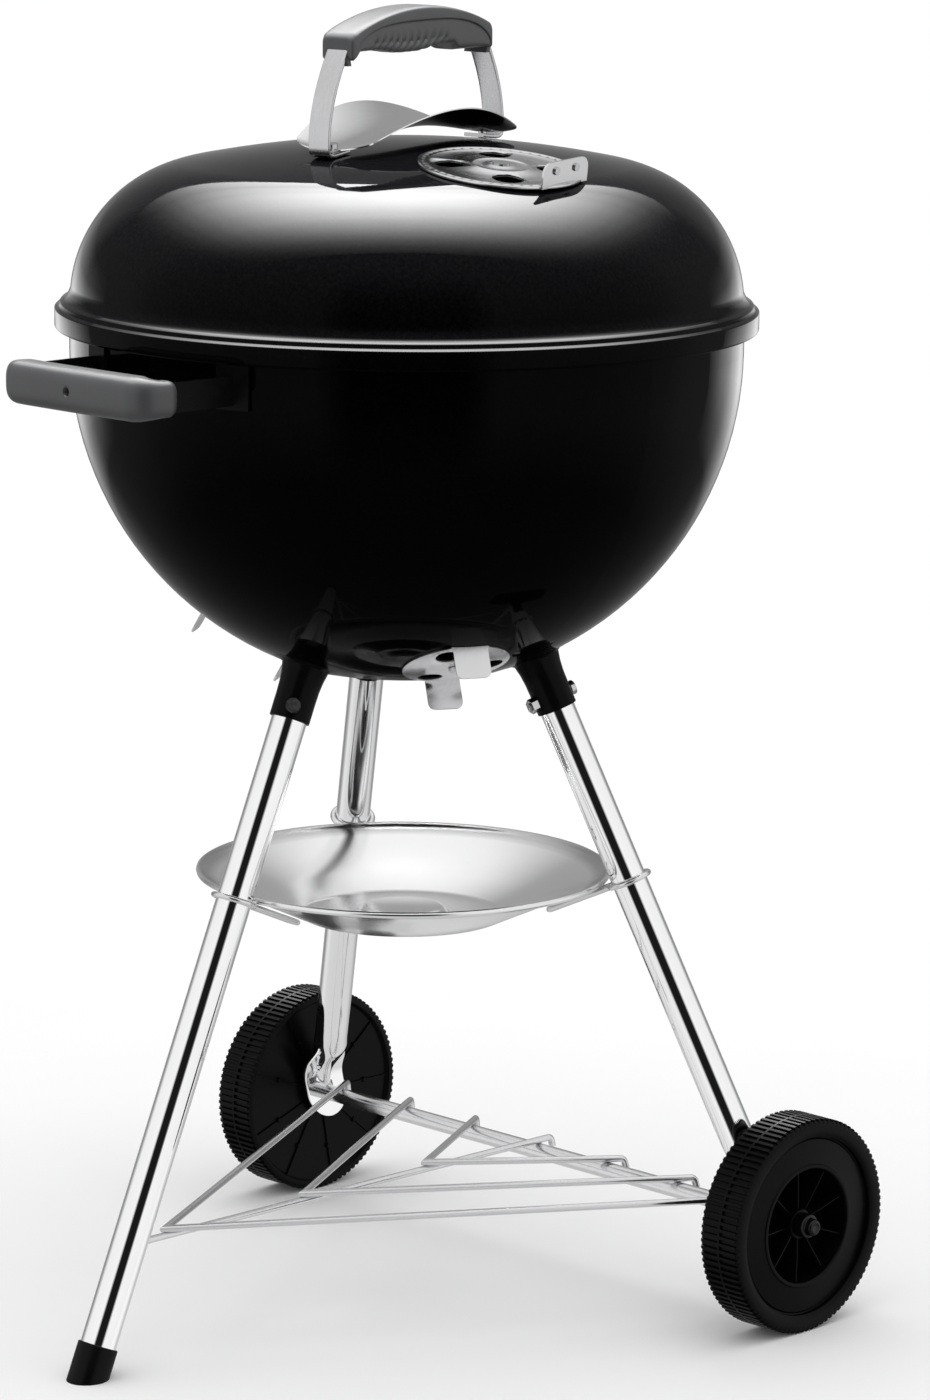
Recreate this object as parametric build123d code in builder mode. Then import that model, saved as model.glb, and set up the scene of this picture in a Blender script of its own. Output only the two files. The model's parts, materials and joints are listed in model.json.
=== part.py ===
from build123d import *
from math import asin, atan2, cos, degrees, radians, sin, sqrt, tan
import os

# Kettle charcoal grill, in millimetres. +Z is up, +X runs along the axle, -Y points to the front leg.
# Heights are above the floor; reaches are measured out from the kettle's own vertical axis.

# ---- driving dimensions -------------------------------------------------------------------------
sheet = 1.2                 # enamelled steel of bowl and lid
gap = 0.3                   # clearance between moving neighbours
bowl_r = 235.0              # outside of the bowl: the 18.5 in kettle
bowl_center_z = 685.0       # centre of the bowl's spherical part
base_z = 462.6              # flat bottom of the bowl
rim_z = 714.1               # centre of the rolled rim
bead_r = 3.5                # rolled rim of the bowl

lid_r = 234.5               # lid wall
shoulder_r = 98.0           # rounded shoulder of the lid
shoulder_z = 718.0          # height where the shoulder starts
dome_r = 786.0              # flat dome on top of the lid
skirt_r, skirt_z = 245.2, 702.0
flange_r, flange_z = 244.6, 715.2       # outer corner of the flange above the skirt
flange_turn = 52.3          # how far the flange turns inward from the upright skirt
hem_r = 2.0                 # rolled hem at the bottom of the skirt

handle_angle = -80.0        # direction of the lid handle
strap_wide, strap_thick = 17.0, 3.0
strap_foot, strap_top = 102.0, 81.0
strap_bar_z = 897.0
screw_reach = 89.0
grip_half, grip_wide = 83.0, 28.0
grip_end_z, grip_peak_z, grip_low_z = 906.5, 922.5, 889.0

lid_vent_reach, lid_vent_angle = 118.0, -12.0
lid_disc_r, lid_hole_r, lid_hole_reach = 57.0, 11.0, 35.0
lid_tab_turn = -70.0        # direction of the tab in the disc's own plane
lid_tab_reach, lid_tab_wide, lid_tab_high = 51.0, 50.0, 18.0

vent_reach, vent_angle = 113.0, -26.0
disc_r, hole_r, hole_reach = 37.0, 8.5, 25.0
ear_reach, ear_wide, ear_high = 33.4, 25.0, 20.0

tube_r, tube_wall = 12.5, 1.5
socket_r, socket_bore_r = 14.3, 12.6
socket_reach, socket_z = 111.3, 434.7
foot_reach = 298.0
wheel_r, wheel_wide, wheel_inner_x = 77.0, 35.0, 232.5
axle_reach = 141.0
axle_r, stub_r = 6.0, 4.75
spade_x, spade_thick, spade_r = 229.0, 4.0, 19.5

pan_r, pan_z, pan_floor_z, pan_floor_r = 145.0, 312.0, 279.0, 70.0
clip_z, wire_r = 314.7, 2.0
rack_wire_r, rack_front_z = 2.5, 87.5

grip_front, grip_back = 313.0, 287.0
bar_half, bar_z, bar_high = 76.0, 682.0, 30.0
arm_x, arm_high, arm_thick = 67.5, 20.0, 3.0

# ---- the row frame: the middle of the whole object's footprint is the origin ---------------------
axis_y = (grip_front - skirt_r - hem_r) / 2
axle_z = wheel_r
dome_center_z = shoulder_z - sqrt((dome_r - shoulder_r) ** 2 - (lid_r - shoulder_r) ** 2)
spin = Axis((0, axis_y, 0), (0, 0, 1))
leg_angles = {"front": -90.0, "right": 30.0, "left": 150.0}

os.makedirs("parts", exist_ok=True)


def save(build, name):
    """Label a finished piece and write its STEP file."""
    build.part.label = name
    export_step(build.part, f"parts/{name}.step")


def at(x, y, z):
    """A point measured from the kettle's axis, in the row frame."""
    return Vector(x, y + axis_y, z)


def radial(angle):
    """Upright plane through the kettle's axis: local x points outward at the angle, local y points up."""
    a = radians(angle)
    return Plane(origin=at(0, 0, 0), x_dir=(cos(a), sin(a), 0), z_dir=(sin(a), -cos(a), 0))


def touching(center_z, radius, reach, angle, up):
    """Plane that touches a sphere on the axis: local z is its outward normal, local x runs level."""
    a = radians(angle)
    normal = Vector(reach * cos(a), reach * sin(a), up * sqrt(radius**2 - reach**2)) / radius
    return Plane(origin=at(0, 0, center_z) + normal * radius, x_dir=(-sin(a), cos(a), 0), z_dir=normal)


def turned(plane, angle):
    """The same plane with its local x turned by an angle about its normal."""
    a = radians(angle)
    return Plane(origin=plane.origin, x_dir=plane.x_dir * cos(a) + plane.y_dir * sin(a), z_dir=plane.z_dir)


def standing(plane, reach):
    """Plane at right angles to another, out along its local x: local y follows its normal."""
    return Plane(origin=plane.origin + plane.x_dir * reach, x_dir=plane.y_dir, z_dir=plane.x_dir)


def dome_z(reach):
    """Height of the lid's outer surface on its flat dome."""
    return dome_center_z + sqrt(dome_r**2 - reach**2)


def spherical(radius, low, high):
    """Angles, measured from level, where a circle about the axis crosses two offsets from its centre."""
    return degrees(asin(low / radius)), degrees(asin(high / radius))


# ---- the three legs' centre lines ----------------------------------------------------------------
def leg_line(name):
    """Top point, just under the bowl, and lower end of a leg's centre line."""
    a = radians(leg_angles[name])
    mouth = at(socket_reach * cos(a), socket_reach * sin(a), socket_z)
    if name == "front":
        low = at(0, -foot_reach, 0)
    else:
        low = at(spade_x if name == "right" else -spade_x, axle_reach, axle_z)
    down = (low - mouth).normalized()
    return mouth, low, down


def on_line(point, down, z):
    """The point of a leg's centre line at a height."""
    return point + down * ((z - point.Z) / down.Z)


bowl_vents = {
    name: touching(bowl_center_z, bowl_r, vent_reach, vent_angle + turn, -1)
    for name, turn in (("front_right", 0), ("rear", 120), ("front_left", 240))
}
lid_vent = touching(dome_center_z, dome_r, lid_vent_reach, lid_vent_angle, 1)
screw_seats = [touching(dome_center_z, dome_r, screw_reach, handle_angle + turn, 1) for turn in (0, 180)]


# ---- bowl ----------------------------------------------------------------------------------------
with BuildPart() as bowl:
    with BuildSketch(radial(0)):
        with BuildLine():
            drop = bowl_center_z - base_z
            outer_low = -degrees(asin(drop / bowl_r))
            inner_low = -degrees(asin((drop - sheet) / (bowl_r - sheet)))
            outer = CenterArc((0, bowl_center_z), bowl_r, outer_low, -outer_low)
            inner = CenterArc((0, bowl_center_z), bowl_r - sheet, inner_low, -inner_low)
            Polyline(outer @ 1, (bowl_r, rim_z), (bowl_r - sheet, rim_z), inner @ 1)
            Polyline(outer @ 0, (0, base_z), (0, base_z + sheet), inner @ 0)
        make_face()
        with Locations((bowl_r - sheet + bead_r, rim_z)):
            Circle(bead_r)
    revolve(axis=spin)
    for vent in bowl_vents.values():
        with BuildSketch(vent):
            with PolarLocations(hole_reach, 3):
                Circle(hole_r - 1)
            Circle(2.6)
        extrude(amount=6, both=True, mode=Mode.SUBTRACT)
save(bowl, "bowl")

with BuildPart() as grate_tabs:
    tab_z, tab_deep, tab_drop = 672.0, 20.0, 16.0
    wall = bowl_r - sheet
    low_a, high_a = spherical(wall, tab_z - tab_drop - bowl_center_z, tab_z - bowl_center_z)
    for angle in (-60, 60, 180):
        with BuildSketch(radial(angle - 2)):
            with BuildLine():
                back = CenterArc((0, bowl_center_z), wall, low_a, high_a - low_a)
                Polyline(back @ 1, (wall - tab_deep, tab_z), (wall - tab_deep, tab_z - 3), back @ 0)
            make_face()
        revolve(axis=spin, revolution_arc=4)
save(grate_tabs, "grate_tabs")


# ---- lid -----------------------------------------------------------------------------------------
def lid_edge(inset):
    """Lid profile from the skirt to the axis, moved inward from the outer surface."""
    start = 5.2
    lift = inset * tan(radians(flange_turn / 2))
    crown = degrees(atan2(shoulder_z - dome_center_z, lid_r - shoulder_r))
    shoulder = CenterArc((lid_r - shoulder_r, shoulder_z), shoulder_r - inset, start, crown - start)
    dome = CenterArc((0, dome_center_z), dome_r - inset, crown, 90 - crown)
    flange_rise = (flange_r - lid_r) / tan(radians(flange_turn))
    edge = FilletPolyline(
        (skirt_r - inset, skirt_z),
        (flange_r - inset, flange_z - lift),
        (lid_r - 0.1 - inset, flange_z + flange_rise - lift),
        shoulder @ 0,
        radius=3.2 - inset,
    )
    return edge @ 0, dome @ 1


with BuildPart() as lid:
    with BuildSketch(radial(0)):
        with BuildLine():
            outer_low, outer_top = lid_edge(0)
            inner_low, inner_top = lid_edge(sheet)
            Line(outer_low, inner_low)
            Line(outer_top, inner_top)
        make_face()
        with Locations((skirt_r, skirt_z)):
            Circle(hem_r)
    revolve(axis=spin)
    with BuildSketch(turned(lid_vent, lid_tab_turn)):
        with PolarLocations(lid_hole_reach, 4, start_angle=45):
            Circle(lid_hole_r - 1)
        Circle(3)
    extrude(amount=6, both=True, mode=Mode.SUBTRACT)
    for seat in screw_seats:
        with BuildSketch(seat):
            Circle(3)
        extrude(amount=6, both=True, mode=Mode.SUBTRACT)
save(lid, "lid")

# ---- lid handle: strap, two grip shells, heat shield and screws ----------------------------------
foot_lift = strap_thick / 2 + 0.1


def strap_outline():
    """Centre line of the bent strap, foot to foot."""
    inner = 78.0
    return FilletPolyline(
        (inner, dome_z(inner) + foot_lift),
        (strap_foot, dome_z(strap_foot) + foot_lift),
        (strap_top, strap_bar_z),
        (-strap_top, strap_bar_z),
        (-strap_foot, dome_z(strap_foot) + foot_lift),
        (-inner, dome_z(inner) + foot_lift),
        radius=5,
    )


with BuildPart() as lid_handle_strap:
    with BuildSketch(radial(handle_angle)):
        with BuildLine():
            strap_outline()
        trace(line_width=strap_thick)
    extrude(amount=strap_wide / 2, both=True)
    for seat in screw_seats:
        with BuildSketch(seat):
            Circle(3)
        extrude(amount=6, both=True, mode=Mode.SUBTRACT)
save(lid_handle_strap, "lid_handle_strap")

seam_peak_z, seam_half = 910.5, 72.0


def strap_slot(clear):
    """Room for the strap inside the grip."""
    with BuildSketch(radial(handle_angle)) as outline:
        with BuildLine():
            strap_outline()
        trace(line_width=strap_thick + 2 * clear)
    extrude(outline.sketch, amount=strap_wide / 2 + clear, both=True, mode=Mode.SUBTRACT)


with BuildPart() as lid_handle_grip:
    with BuildSketch(radial(handle_angle)):
        with BuildLine():
            top = ThreePointArc((-grip_half, grip_end_z), (0, grip_peak_z), (grip_half, grip_end_z))
            seam = ThreePointArc((-seam_half, grip_low_z), (0, seam_peak_z), (seam_half, grip_low_z))
            Polyline(top @ 1, (grip_half, grip_low_z), seam @ 1)
            Polyline(top @ 0, (-grip_half, grip_low_z), seam @ 0)
        make_face()
    extrude(amount=grip_wide / 2, both=True)
    crown_edges = lid_handle_grip.edges().filter_by(GeomType.CIRCLE).group_by(Axis.Z)[-1]
    fillet(crown_edges, radius=7)
    strap_slot(0.3)
save(lid_handle_grip, "lid_handle_grip")

with BuildPart() as lid_handle_insert:
    belly_z, belly_half = 893.0, 46.0
    with BuildSketch(radial(handle_angle)):
        with BuildLine():
            seam = ThreePointArc(
                (-seam_half + 1, grip_low_z), (0, seam_peak_z - gap), (seam_half - 1, grip_low_z)
            )
            Spline(seam @ 1, (belly_half, belly_z + 2), (0, belly_z), (-belly_half, belly_z + 2), seam @ 0)
        make_face()
    extrude(amount=grip_wide / 2 - 1.5, both=True)
    strap_slot(0.3)
save(lid_handle_insert, "lid_handle_insert")

shield_half, shield_end_wide, shield_mid_wide = 98.0, 20.0, 46.0
shield_lift, shield_dish = 8.5, 11.0
shield_notch = 95.5         # the strap's legs rise through a notch in each end


def shield_section(reach):
    """Cross-section of the dished shield at a reach along the handle."""
    share = max(1 - (reach / shield_half) ** 2, 0)
    wide = shield_end_wide + (shield_mid_wide - shield_end_wide) * share
    low = dome_z(reach) + strap_thick + 2 * gap + shield_lift * share**2
    dish = 0.4 + shield_dish * share
    plane = radial(handle_angle)
    return Plane(origin=plane.origin + plane.x_dir * reach, x_dir=plane.z_dir, z_dir=-plane.x_dir), wide, low, dish


with BuildPart() as heat_shield:
    for reach in (-98, -84, -60, -30, 0, 30, 60, 84, 98):
        plane, wide, low, dish = shield_section(reach)
        with BuildSketch(plane):
            with BuildLine():
                under = ThreePointArc((-wide, low + dish), (0, low), (wide, low + dish))
                over = ThreePointArc((-wide, low + dish + sheet), (0, low + sheet), (wide, low + dish + sheet))
                Line(under @ 0, over @ 0)
                Line(under @ 1, over @ 1)
            make_face()
    loft()
    for seat in screw_seats:
        with BuildSketch(seat):
            Circle(3)
        extrude(amount=12, mode=Mode.SUBTRACT)
    with BuildSketch(radial(handle_angle)):
        with Locations((shield_notch + 10, dome_z(shield_notch)), (-shield_notch - 10, dome_z(shield_notch))):
            Rectangle(20, 40)
    extrude(amount=strap_wide / 2 + 1, both=True, mode=Mode.SUBTRACT)
save(heat_shield, "heat_shield")

with BuildPart() as lid_handle_screws:
    head_low = strap_thick + 2 * gap + sheet + 0.9
    for seat in screw_seats:
        with BuildSketch(seat.offset(-8)):
            Circle(2.9)
        extrude(amount=8 + head_low)
        with BuildSketch(seat.offset(head_low)):
            Circle(5)
        extrude(amount=3)
        with BuildSketch(seat.offset(-sheet - 4.6)):
            RegularPolygon(5.5, 6)
        extrude(amount=4.4)
save(lid_handle_screws, "lid_handle_screws")


# ---- lid damper ----------------------------------------------------------------------------------
def cap_shell(plane, sphere, radius, bore):
    """Thin cap that follows a sphere just outside its surface, with a hole for its rivet."""
    floor, roof = sphere + gap, sphere + gap + sheet
    edge = Plane(origin=plane.origin, x_dir=plane.x_dir, z_dir=-plane.y_dir)
    with BuildSketch(edge) as section:
        with BuildLine():
            start, end = degrees(asin(bore / sphere)), degrees(asin(radius / sphere))
            low = CenterArc((0, -sphere), floor, 90 - end, end - start)
            high = CenterArc((0, -sphere), roof, 90 - end, end - start)
            Line(low @ 0, high @ 0)
            Line(low @ 1, high @ 1)
        make_face()
    revolve(section.sketch, axis=Axis(plane.origin, plane.z_dir))


def tongue(plane, wide, low, high, corner, thick):
    """Upright plate with rounded top corners."""
    with BuildSketch(plane) as outline:
        with BuildLine():
            half = wide / 2
            FilletPolyline((-half, low), (-half, high), (half, high), (half, low), radius=corner)
            Line((half, low), (-half, low))
        make_face()
    extrude(outline.sketch, amount=thick)


lid_tab_plane = turned(lid_vent, lid_tab_turn)
rivet_spots = [(-11, 10), (11, 10)]
with BuildPart() as lid_damper:
    cap_shell(lid_tab_plane, dome_r, lid_disc_r, 3.05)
    with BuildSketch(lid_tab_plane):
        with PolarLocations(lid_hole_reach, 4, start_angle=45):
            Circle(lid_hole_r)
    extrude(amount=6, both=True, mode=Mode.SUBTRACT)
    with BuildSketch(standing(lid_tab_plane, lid_tab_reach + sheet)):
        Rectangle(2 * lid_disc_r, 12)
    extrude(amount=20, mode=Mode.SUBTRACT)
    tongue(standing(lid_tab_plane, lid_tab_reach), lid_tab_wide - 2, -0.6, lid_tab_high - 3, 7, sheet)
    with BuildSketch(standing(lid_tab_plane, lid_tab_reach - 1)):
        with Locations(*rivet_spots):
            Circle(1.6)
    extrude(amount=4, mode=Mode.SUBTRACT)
save(lid_damper, "lid_damper")

with BuildPart() as lid_damper_tab:
    tongue(standing(lid_tab_plane, lid_tab_reach + sheet + 0.05), lid_tab_wide, -1, lid_tab_high, 8, 1.5)
    with BuildSketch(standing(lid_tab_plane, lid_tab_reach)):
        with Locations(*rivet_spots):
            Circle(1.6)
    extrude(amount=4, mode=Mode.SUBTRACT)
save(lid_damper_tab, "lid_damper_tab")

with BuildPart() as lid_damper_tab_rivets:
    for inner, length, radius in ((-1.2, 6.4, 1.55), (-1.2, 1.2, 2.8), (sheet + 1.55, 1.4, 2.8)):
        with BuildSketch(standing(lid_tab_plane, lid_tab_reach + inner)):
            with Locations(*rivet_spots):
                Circle(radius)
        extrude(amount=length if radius > 2 else sheet + 1.55 - inner)
save(lid_damper_tab_rivets, "lid_damper_tab_rivets")


def pivot_rivet(plane, shank, head):
    """Rivet with a flat head outside the damper and a formed end inside the sheet."""
    inside, outside = -sheet - 0.1, 2 * gap + sheet
    for start, length, radius in (
        (inside - 2, outside - inside + 2, shank),
        (outside, 1.5, head),
        (inside - 2, 2, head),
    ):
        with BuildSketch(plane.offset(start)) as disc:
            Circle(radius)
        extrude(disc.sketch, amount=length)


with BuildPart() as lid_damper_rivet:
    pivot_rivet(lid_vent, 2.98, 6)
save(lid_damper_rivet, "lid_damper_rivet")

# ---- bowl dampers --------------------------------------------------------------------------------
for name, vent in bowl_vents.items():
    with BuildPart() as bowl_damper:
        cap_shell(vent, bowl_r, disc_r, 2.6)
        with BuildSketch(vent):
            with PolarLocations(hole_reach, 3):
                Circle(hole_r)
        extrude(amount=12, both=True, mode=Mode.SUBTRACT)
        for side in (90, -90):
            with BuildSketch(standing(turned(vent, side), ear_reach + sheet)):
                Rectangle(2 * disc_r, 20)
            extrude(amount=20, mode=Mode.SUBTRACT)
            tongue(standing(turned(vent, side), ear_reach), ear_wide, -1.6, ear_high, 5, sheet)
    save(bowl_damper, f"bowl_damper_{name}")

with BuildPart() as bowl_damper_rivets:
    for vent in bowl_vents.values():
        pivot_rivet(vent, 2.54, 5.5)
save(bowl_damper_rivets, "bowl_damper_rivets")


# ---- bowl handle ---------------------------------------------------------------------------------
def arm_strip(thick, high, mode):
    """U-shaped strip: two arms out from the bowl and the bar between them."""
    with BuildSketch(Plane(origin=at(0, 0, bar_z - high / 2))) as outline:
        with BuildLine():
            bar = grip_front - 13.5
            FilletPolyline((-arm_x, -bowl_r + 8), (-arm_x, -bar), (arm_x, -bar), (arm_x, -bowl_r + 8), radius=9)
        trace(line_width=thick)
    extrude(outline.sketch, amount=high, mode=mode)


plate_thick = 2.5
with BuildPart() as bowl_handle_bracket:
    arm_strip(arm_thick, arm_high, Mode.ADD)
    with BuildSketch(Plane(origin=at(0, 0, bar_z - 30))):
        Circle(bowl_r + plate_thick + 0.05)
    extrude(amount=60, mode=Mode.SUBTRACT)
save(bowl_handle_bracket, "bowl_handle_bracket")

with BuildPart() as bowl_handle_plates:
    half_span = 3.0
    arm_angle = degrees(asin(arm_x / bowl_r))
    for angle in (-90 - arm_angle, -90 + arm_angle):
        with BuildSketch(radial(angle - half_span)):
            with Locations((bowl_r + plate_thick / 2 + 0.02, bar_z + 3)):
                Rectangle(plate_thick, 32)
        revolve(axis=spin, revolution_arc=2 * half_span)
save(bowl_handle_plates, "bowl_handle_plates")

with BuildPart() as bowl_handle_grip:
    with BuildSketch(Plane(origin=at(0, 0, bar_z - bar_high / 2))):
        with BuildLine():
            tip_y = grip_back - 7
            rim = FilletPolyline(
                (-bar_half, -tip_y), (-bar_half, -grip_front + 5), (0, -grip_front),
                (bar_half, -grip_front + 5), (bar_half, -tip_y), radius=16,
            )
            palm = FilletPolyline(
                (-bar_half + 17, -tip_y), (-bar_half + 17, -grip_back), (0, -grip_back - 2),
                (bar_half - 17, -grip_back), (bar_half - 17, -tip_y), radius=5,
            )
            Line(rim @ 0, palm @ 0)
            Line(rim @ 1, palm @ 1)
        make_face()
    extrude(amount=bar_high)
    level_edges = bowl_handle_grip.faces().sort_by(Axis.Z)[-1].edges()
    level_edges += bowl_handle_grip.faces().sort_by(Axis.Z)[0].edges()
    fillet(level_edges, radius=4)
    arm_strip(arm_thick + 0.4, arm_high + 0.4, Mode.SUBTRACT)
    with BuildSketch(Plane(origin=at(0, -grip_front - 1, bar_z), x_dir=(1, 0, 0), z_dir=(0, 1, 0))):
        Circle(3)
    extrude(amount=12.5, mode=Mode.SUBTRACT)
save(bowl_handle_grip, "bowl_handle_grip")


# ---- leg sockets, legs, bolts and foot cap -------------------------------------------------------
bolt_turn = 45.0
bolt_up = 9.0               # bolt height above the socket's mouth, along the leg


def leg_plane(name):
    """Plane across the leg at its socket's mouth: local z runs up the leg, local x points outward."""
    mouth, low, down = leg_line(name)
    a = radians(leg_angles[name])
    outward = Vector(cos(a), sin(a), 0)
    outward = (outward - down * outward.dot(down)).normalized()
    return Plane(origin=mouth, x_dir=outward, z_dir=-down)


def bolt_plane(name):
    """Plane across the leg bolt, through the leg's centre line: local z runs along the bolt."""
    plane = turned(leg_plane(name), bolt_turn)
    return Plane(origin=plane.origin + plane.z_dir * bolt_up, x_dir=plane.z_dir, z_dir=plane.x_dir)


for name in leg_angles:
    with BuildPart() as leg_socket:
        plane = leg_plane(name)
        with BuildSketch(plane):
            Circle(socket_r)
        extrude(amount=60)
        with BuildSketch(plane.offset(26)):
            Circle(20)
        extrude(amount=34)
        fillet(leg_socket.edges().group_by(SortBy.LENGTH)[-1], radius=3)
        with BuildSketch(plane.offset(-1)):
            Circle(socket_bore_r)
        extrude(amount=60, mode=Mode.SUBTRACT)
        with BuildSketch(turned(plane, bolt_turn).offset(bolt_up)):
            with Locations((socket_r, 0)):
                Rectangle(12, 3)
        extrude(amount=20, mode=Mode.SUBTRACT)
        with BuildSketch(bolt_plane(name)):
            Circle(3.1)
        extrude(amount=30, both=True, mode=Mode.SUBTRACT)
        with Locations(at(0, 0, bowl_center_z)):
            Sphere(bowl_r + 0.02, mode=Mode.SUBTRACT)
    save(leg_socket, f"leg_socket_{name}")

leg_top = 32.0              # leg's end above the socket's mouth, just under the bowl
cap_high, cap_wall = 24.0, 1.6
with BuildPart() as leg_front:
    mouth, low, down = leg_line("front")
    with BuildSketch(leg_plane("front").offset(leg_top)):
        Circle(tube_r)
        Circle(tube_r - tube_wall, mode=Mode.SUBTRACT)
    extrude(amount=-(leg_top + (mouth - low).length + 20))
    split(bisect_by=Plane.XY.offset(3), keep=Keep.TOP)
    with BuildSketch(bolt_plane("front")):
        Circle(3.1)
    extrude(amount=30, both=True, mode=Mode.SUBTRACT)
    rack_seat = on_line(mouth, down, rack_front_z)
    with BuildSketch(Plane(origin=rack_seat, z_dir=(0, 1, 0))):
        Circle(rack_wire_r + 0.3)
    extrude(amount=30, mode=Mode.SUBTRACT)
save(leg_front, "leg_front")

with BuildPart() as foot_cap:
    mouth, low, down = leg_line("front")
    foot = Plane(origin=low, z_dir=-down)
    with BuildSketch(foot.offset(-20)):
        Circle(tube_r + cap_wall)
    extrude(amount=20 + cap_high)
    fillet(foot_cap.edges().sort_by(Axis.Z)[-1], radius=1)
    split(bisect_by=Plane.XY, keep=Keep.TOP)
    with BuildPart(mode=Mode.PRIVATE) as plug:
        with BuildSketch(foot.offset(-20)):
            Circle(tube_r + 0.05)
        extrude(amount=60)
        split(bisect_by=Plane.XY.offset(2.95), keep=Keep.TOP)
    add(plug.part, mode=Mode.SUBTRACT)
save(foot_cap, "foot_cap")

crimp_z, spade_top_z = 126.0, 98.0
for name, side in (("right", 1), ("left", -1)):
    with BuildPart() as leg_rear:
        mouth, low, down = leg_line(name)
        crimp = on_line(mouth, down, crimp_z)
        bend = on_line(mouth, down, spade_top_z)
        plane = leg_plane(name)
        with BuildSketch(plane.offset(leg_top)):
            Circle(tube_r)
            Circle(tube_r - tube_wall, mode=Mode.SUBTRACT)
        extrude(amount=-(leg_top + (mouth - crimp).length))
        with BuildSketch(Plane(origin=crimp, x_dir=(0, 1, 0), z_dir=down)):
            Ellipse(tube_r, tube_r)
        with BuildSketch(Plane(origin=(side * spade_x, bend.Y, spade_top_z), x_dir=(0, 1, 0), z_dir=(0, 0, -1))):
            Ellipse(spade_r, spade_thick / 2)
        loft()
        with BuildSketch(Plane(origin=(side * spade_x, low.Y, axle_z), x_dir=(0, 1, 0), z_dir=(1, 0, 0))):
            Circle(spade_r)
            lean = bend.Y - low.Y
            rise = spade_top_z - axle_z + 1
            Polygon((-spade_r, 0), (spade_r, 0), (spade_r + lean, rise), (-spade_r + lean, rise), align=None)
            Circle(stub_r + 0.05, mode=Mode.SUBTRACT)
        extrude(amount=spade_thick / 2, both=True)
        with BuildSketch(bolt_plane(name)):
            Circle(3.1)
        extrude(amount=30, both=True, mode=Mode.SUBTRACT)
    save(leg_rear, f"leg_{name}")

with BuildPart() as leg_bolts:
    for name in leg_angles:
        with BuildSketch(bolt_plane(name).offset(-socket_r - 6)):
            Circle(3)
        extrude(amount=2 * socket_r + 6)
        with BuildSketch(bolt_plane(name).offset(socket_r)):
            Circle(5.2)
        extrude(amount=3.6)
save(leg_bolts, "leg_bolts")

with BuildPart() as leg_nuts:
    for name in leg_angles:
        with BuildSketch(bolt_plane(name).offset(-socket_r - 5)):
            RegularPolygon(5.5, 6)
            Circle(3.02, mode=Mode.SUBTRACT)
        extrude(amount=5)
save(leg_nuts, "leg_nuts")

# ---- axle, wheels, washers and hub caps ----------------------------------------------------------
hub_out = 26.0              # wheel hub's outer end, measured from the wheel's inner face
cap_r, cap_tip = 8.8, 41.0
axle_line = at(0, axle_reach, axle_z)


def across(x, side):
    """Plane across the axle at a distance from the middle, facing outward on that side."""
    return Plane(origin=(side * x, axle_line.Y, axle_line.Z), x_dir=(0, side, 0), z_dir=(side, 0, 0))


with BuildPart() as axle:
    with BuildSketch(across(0, 1)):
        Circle(axle_r)
    extrude(amount=spade_x - spade_thick / 2 - 0.05, both=True)
    with BuildSketch(across(0, 1)):
        Circle(stub_r)
    extrude(amount=wheel_inner_x + hub_out + 8, both=True)
save(axle, "axle")

with BuildPart() as wheel_washers:
    for side in (1, -1):
        with BuildSketch(across(spade_x + spade_thick / 2 + 0.05, side)):
            Circle(11)
            Circle(stub_r + 0.05, mode=Mode.SUBTRACT)
        extrude(amount=1.1)
save(wheel_washers, "wheel_washers")

dish_r, hub_r, groove_r = 41.0, 11.0, 64.0
web_in, web_out = 4.0, 12.0
spokes = 9
for name, side in (("right", 1), ("left", -1)):
    with BuildPart() as wheel:
        inner = across(wheel_inner_x, side)
        profile = Plane(origin=inner.origin, x_dir=inner.x_dir, z_dir=-inner.y_dir)
        with BuildSketch(profile):
            with BuildLine():
                Polyline(
                    (stub_r + 0.06, gap), (hub_r, gap), (hub_r + 1, web_in), (62, web_in), (64, 1.5),
                    (wheel_r - 3, 0), (wheel_r, 2.5), (wheel_r, wheel_wide - 2.5), (wheel_r - 3, wheel_wide),
                    (groove_r + 1, wheel_wide), (groove_r, wheel_wide - 1.5), (groove_r - 1, wheel_wide - 0.8),
                    (dish_r + 2, wheel_wide - 0.8), (dish_r - 1, wheel_wide - 3), (dish_r - 6, web_out),
                    (hub_r + 2, web_out), (hub_r, hub_out), (stub_r + 0.06, hub_out), close=True,
                )
            make_face()
        revolve(axis=Axis(inner.origin, inner.z_dir))
        with BuildSketch(inner.offset(web_out - 1)):
            with PolarLocations((hub_r + dish_r) / 2 - 1, spokes):
                Rectangle(dish_r - hub_r - 1, 2.2)
        extrude(amount=12)
    save(wheel, f"wheel_{name}")

for name, side in (("right", 1), ("left", -1)):
    with BuildPart() as hub_cap:
        with BuildSketch(across(wheel_inner_x + hub_out + gap, side)):
            Circle(cap_r)
        extrude(amount=cap_tip - hub_out - gap)
        fillet(hub_cap.faces().sort_by(Axis.X)[-1 if side > 0 else 0].edges(), radius=4)
        with BuildSketch(across(wheel_inner_x + hub_out, side)):
            Circle(stub_r + 0.03)
        extrude(amount=8.1, mode=Mode.SUBTRACT)
    save(hub_cap, f"hub_cap_{name}")

# ---- wire rack on the axle -----------------------------------------------------------------------
rack_pitch = 70.0
rack_apexes = (24.0, -97.0, -227.0)
over_axle_z = axle_z + axle_r + rack_wire_r + 0.05
front_y = (rack_seat - at(0, 0, 0)).Y


def rod_z(y):
    """Height of the rack's centre rod at a distance along it, measured from the kettle's axis."""
    return over_axle_z + (rack_front_z - over_axle_z) * (axle_reach - y) / (axle_reach - front_y)


def wire_along(path, radius):
    """Round wire swept along a path."""
    with BuildSketch(Plane(origin=path @ 0, z_dir=path % 0)) as section:
        Circle(radius)
    sweep(section.sketch, path=path)


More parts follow.
